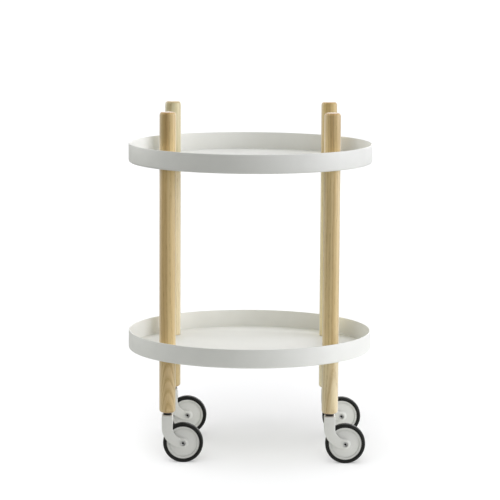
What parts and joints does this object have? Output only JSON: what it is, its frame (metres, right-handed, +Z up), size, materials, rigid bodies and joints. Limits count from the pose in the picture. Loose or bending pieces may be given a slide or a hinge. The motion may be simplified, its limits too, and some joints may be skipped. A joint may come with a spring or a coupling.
{
  "type": "serving trolley",
  "caption": "Round serving trolley with two rimmed steel trays clamped between turned wooden legs, rolling on swivel castors.",
  "frame": {"origin": "on the floor, midway between the four legs", "axes": "+Z up; +X to the right as the picture shows it, along the longer leg spacing, and the way the castors trail; +Y away from the viewer"},
  "size_m": [0.45, 0.45, 0.64],
  "materials": {
    "white_powder_coat": "white powder coat on sheet steel, fine even texture, satin",
    "ash_wood": "pale ash dowel, open straight grain, clear matt lacquer",
    "zinc_steel": "zinc plated steel thread",
    "brass_insert": "turned brass",
    "black_plastic": "moulded black plastic, matt",
    "white_fork_coat": "white powder coat on cast metal, satin",
    "bearing_plastic": "natural bearing plastic",
    "dark_steel": "blackened steel",
    "white_wheel_plastic": "moulded white plastic, satin",
    "black_tyre": "smooth black rubber tread, matt"
  },
  "bodies": {
    "root": {"lower_tray": "white_powder_coat", "upper_tray": "white_powder_coat", "lower_tray_studs": "zinc_steel", "upper_tray_studs": "zinc_steel", "lower_tray_inserts": "brass_insert", "upper_tray_inserts": "brass_insert", "castor_inserts": "brass_insert", "leg_foot_front_left": "ash_wood", "leg_middle_front_left": "ash_wood", "leg_top_front_left": "ash_wood", "castor_stem_front_left": "zinc_steel", "castor_collar_front_left": "black_plastic", "leg_foot_front_right": "ash_wood", "leg_middle_front_right": "ash_wood", "leg_top_front_right": "ash_wood", "castor_stem_front_right": "zinc_steel", "castor_collar_front_right": "black_plastic", "leg_foot_rear_left": "ash_wood", "leg_middle_rear_left": "ash_wood", "leg_top_rear_left": "ash_wood", "castor_stem_rear_left": "zinc_steel", "castor_collar_rear_left": "black_plastic", "leg_foot_rear_right": "ash_wood", "leg_middle_rear_right": "ash_wood", "leg_top_rear_right": "ash_wood", "castor_stem_rear_right": "zinc_steel", "castor_collar_rear_right": "black_plastic"},
    "swivel_front_left": {"castor_fork_front_left": "white_fork_coat", "swivel_bush_front_left": "bearing_plastic", "axle_screw_front_left": "dark_steel", "axle_nut_front_left": "dark_steel"},
    "wheel_front_left": {"wheel_front_left": "white_wheel_plastic", "tyre_front_left": "black_tyre", "wheel_bushes_front_left": "bearing_plastic"},
    "swivel_front_right": {"castor_fork_front_right": "white_fork_coat", "swivel_bush_front_right": "bearing_plastic", "axle_screw_front_right": "dark_steel", "axle_nut_front_right": "dark_steel"},
    "wheel_front_right": {"wheel_front_right": "white_wheel_plastic", "tyre_front_right": "black_tyre", "wheel_bushes_front_right": "bearing_plastic"},
    "swivel_rear_left": {"castor_fork_rear_left": "white_fork_coat", "swivel_bush_rear_left": "bearing_plastic", "axle_screw_rear_left": "dark_steel", "axle_nut_rear_left": "dark_steel"},
    "wheel_rear_left": {"wheel_rear_left": "white_wheel_plastic", "tyre_rear_left": "black_tyre", "wheel_bushes_rear_left": "bearing_plastic"},
    "swivel_rear_right": {"castor_fork_rear_right": "white_fork_coat", "swivel_bush_rear_right": "bearing_plastic", "axle_screw_rear_right": "dark_steel", "axle_nut_rear_right": "dark_steel"},
    "wheel_rear_right": {"wheel_rear_right": "white_wheel_plastic", "tyre_rear_right": "black_tyre", "wheel_bushes_rear_right": "bearing_plastic"}
  },
  "joints": [
    {"name": "castor_swivel_front_left", "type": "hinge", "parent": "root", "child": "swivel_front_left", "pos_m": [-0.14781, -0.12611, 0.082], "axis": [0, 0, 1], "continuous": true},
    {"name": "wheel_spin_front_left", "type": "hinge", "parent": "swivel_front_left", "child": "wheel_front_left", "pos_m": [-0.11911, -0.12611, 0.0365], "axis": [0, 1, 0], "continuous": true},
    {"name": "castor_swivel_front_right", "type": "hinge", "parent": "root", "child": "swivel_front_right", "pos_m": [0.14781, -0.12611, 0.082], "axis": [0, 0, 1], "continuous": true},
    {"name": "wheel_spin_front_right", "type": "hinge", "parent": "swivel_front_right", "child": "wheel_front_right", "pos_m": [0.17651, -0.12611, 0.0365], "axis": [0, 1, 0], "continuous": true},
    {"name": "castor_swivel_rear_left", "type": "hinge", "parent": "root", "child": "swivel_rear_left", "pos_m": [-0.14781, 0.12611, 0.082], "axis": [0, 0, 1], "continuous": true},
    {"name": "wheel_spin_rear_left", "type": "hinge", "parent": "swivel_rear_left", "child": "wheel_rear_left", "pos_m": [-0.11911, 0.12611, 0.0365], "axis": [0, 1, 0], "continuous": true},
    {"name": "castor_swivel_rear_right", "type": "hinge", "parent": "root", "child": "swivel_rear_right", "pos_m": [0.14781, 0.12611, 0.082], "axis": [0, 0, 1], "continuous": true},
    {"name": "wheel_spin_rear_right", "type": "hinge", "parent": "swivel_rear_right", "child": "wheel_rear_right", "pos_m": [0.17651, 0.12611, 0.0365], "axis": [0, 1, 0], "continuous": true}
  ]
}
